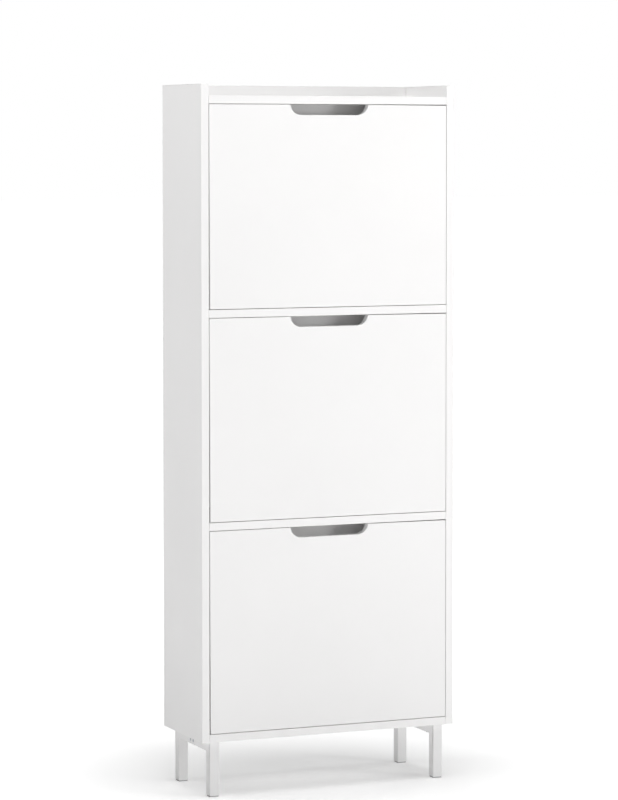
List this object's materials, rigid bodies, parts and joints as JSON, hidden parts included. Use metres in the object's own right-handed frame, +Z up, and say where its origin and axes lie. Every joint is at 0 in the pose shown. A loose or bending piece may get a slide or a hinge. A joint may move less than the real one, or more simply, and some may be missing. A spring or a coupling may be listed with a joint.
{
  "type": "shoe cabinet",
  "caption": "Tall, shallow white shoe cabinet with tip-out flaps, finger notches, a rimmed top tray and square steel leg frames.",
  "frame": {"origin": "on the floor, at the centre of the cabinet's footprint", "axes": "+Z up; +X to the right of a person facing the cabinet; the front faces -Y and the back, towards the wall, +Y"},
  "size_m": [0.52, 0.204, 1.339],
  "materials": {
    "white_board": "satin white lacquer on board",
    "basket_board": "white foil on thin board",
    "back_board": "white-faced hardboard",
    "powder_coated_steel": "fine satin powder coat",
    "white_plastic": "moulded, fine texture",
    "grey_plastic": "moulded, matt",
    "bright_steel": "zinc plated",
    "dark_steel": "black oxide"
  },
  "bodies": {
    "carcass": {"left_side_panel": "white_board", "right_side_panel": "white_board", "bottom_board": "white_board", "lower_shelf": "white_board", "upper_shelf": "white_board", "top_board": "white_board", "rear_rail": "white_board", "back_panel": "back_board", "left_leg_frame": "powder_coated_steel", "right_leg_frame": "powder_coated_steel", "left_front_glide": "grey_plastic", "left_front_leg_bolt": "dark_steel", "left_rear_glide": "grey_plastic", "left_rear_leg_bolt": "dark_steel", "left_wall_bracket": "bright_steel", "right_front_glide": "grey_plastic", "right_front_leg_bolt": "dark_steel", "right_rear_glide": "grey_plastic", "right_rear_leg_bolt": "dark_steel", "right_wall_bracket": "bright_steel", "lower_catch": "white_plastic", "lower_cross_rail": "white_board", "lower_left_stop_pin": "bright_steel", "lower_right_stop_pin": "bright_steel", "middle_catch": "white_plastic", "middle_cross_rail": "white_board", "middle_left_stop_pin": "bright_steel", "middle_right_stop_pin": "bright_steel", "upper_catch": "white_plastic", "upper_cross_rail": "white_board", "upper_left_stop_pin": "bright_steel", "upper_right_stop_pin": "bright_steel"},
    "upper_tip_out": {"upper_flap": "white_board", "upper_left_wing": "white_plastic", "upper_right_wing": "white_plastic", "upper_floor": "basket_board", "upper_riser": "basket_board", "upper_step": "basket_board", "upper_rear_board": "basket_board", "upper_left_pivot_pin": "bright_steel", "upper_right_pivot_pin": "bright_steel"},
    "middle_tip_out": {"middle_flap": "white_board", "middle_left_wing": "white_plastic", "middle_right_wing": "white_plastic", "middle_floor": "basket_board", "middle_riser": "basket_board", "middle_step": "basket_board", "middle_rear_board": "basket_board", "middle_left_pivot_pin": "bright_steel", "middle_right_pivot_pin": "bright_steel"},
    "lower_tip_out": {"lower_flap": "white_board", "lower_left_wing": "white_plastic", "lower_right_wing": "white_plastic", "lower_floor": "basket_board", "lower_riser": "basket_board", "lower_step": "basket_board", "lower_rear_board": "basket_board", "lower_left_pivot_pin": "bright_steel", "lower_right_pivot_pin": "bright_steel"}
  },
  "joints": [
    {"name": "upper_flap_hinge", "type": "hinge", "parent": "carcass", "child": "upper_tip_out", "pos_m": [0, -0.0945, 0.9451], "axis": [1, 0, 0], "range_deg": [0, 48]},
    {"name": "middle_flap_hinge", "type": "hinge", "parent": "carcass", "child": "middle_tip_out", "pos_m": [0, -0.0945, 0.5461], "axis": [1, 0, 0], "range_deg": [0, 48]},
    {"name": "lower_flap_hinge", "type": "hinge", "parent": "carcass", "child": "lower_tip_out", "pos_m": [0, -0.0945, 0.1471], "axis": [1, 0, 0], "range_deg": [0, 48]}
  ]
}
